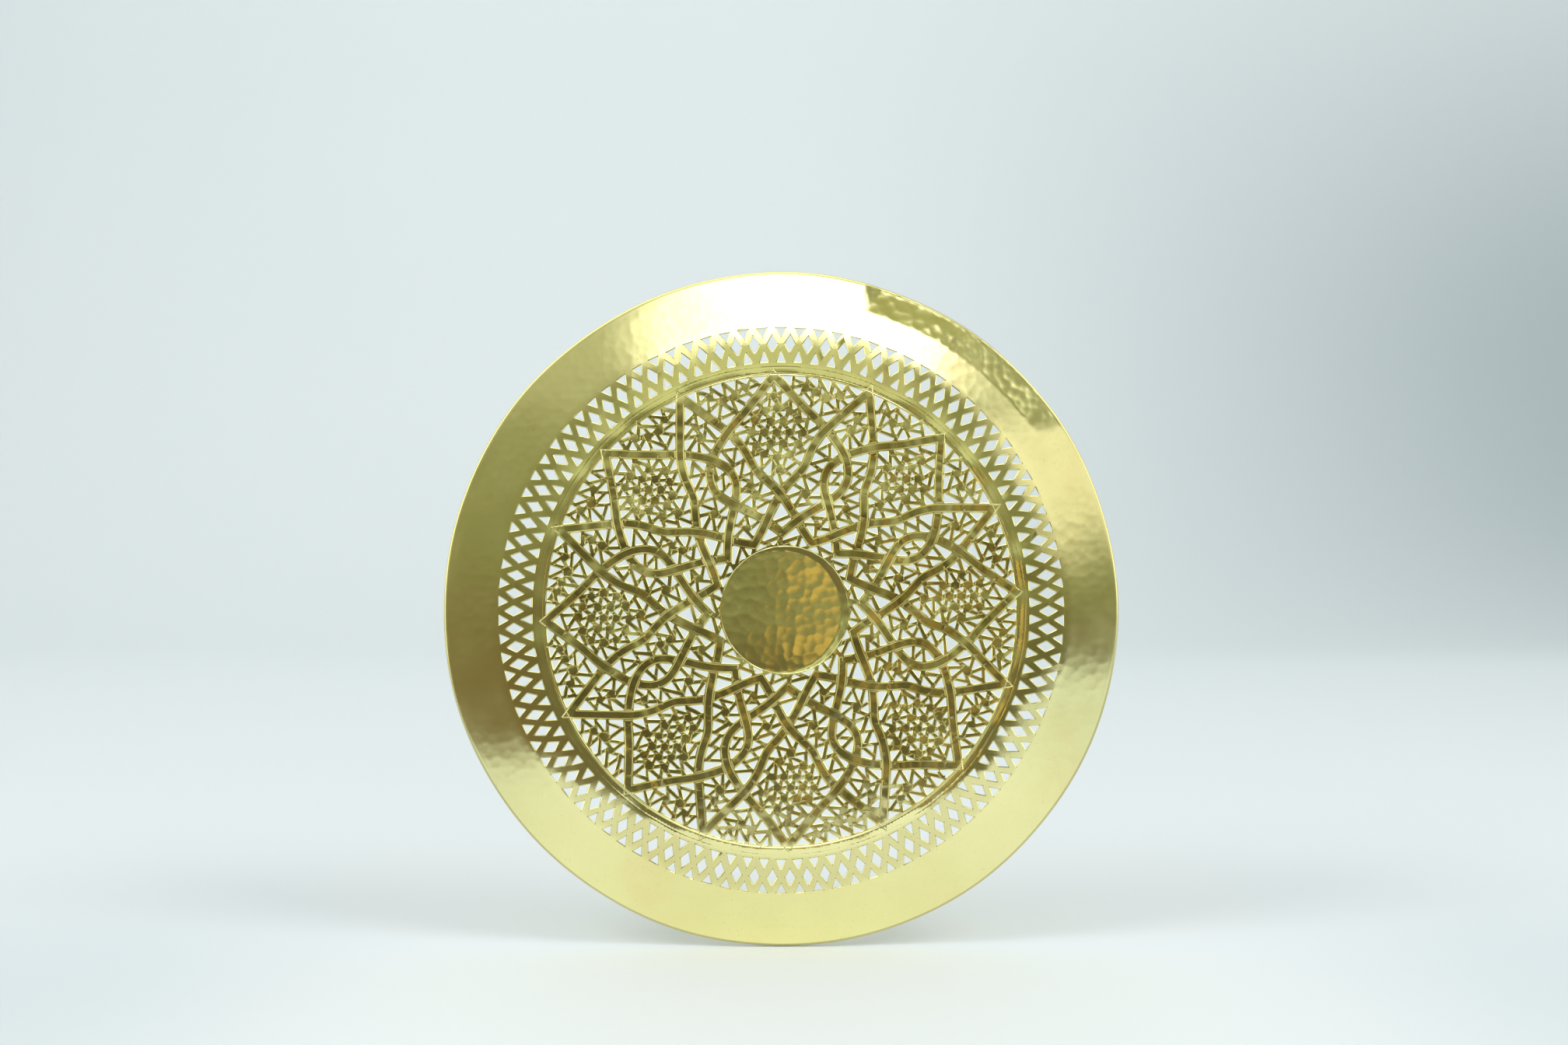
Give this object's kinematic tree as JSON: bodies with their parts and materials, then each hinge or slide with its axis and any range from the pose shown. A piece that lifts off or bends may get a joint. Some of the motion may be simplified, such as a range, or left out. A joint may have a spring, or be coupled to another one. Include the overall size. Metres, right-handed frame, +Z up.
{
  "type": "pierced brass tray",
  "caption": "Round hand-raised brass tray with a pierced fretwork floor, a pierced lattice band, a plain sloping rim and a rolled edge.",
  "frame": {"origin": "middle of the tray, on the rear of its flat floor, where a stand's rest or a hanger holds it", "axes": "+Z up, as the tray is shown upright; -Y is the way the raised, engraved face looks; +Y is the way the hollow side looks, back to the holder. Turned a quarter turn about X, the tray lies flat with its rim up."},
  "size_m": [0.5, 0.0169, 0.5],
  "materials": {
    "tray_brass": "hand-hammered and polished, with light tarnish",
    "wire_steel": "plain drawn wire"
  },
  "bodies": {
    "root": {"tray_sheet": "tray_brass", "rim_wire": "wire_steel"}
  },
  "joints": []
}
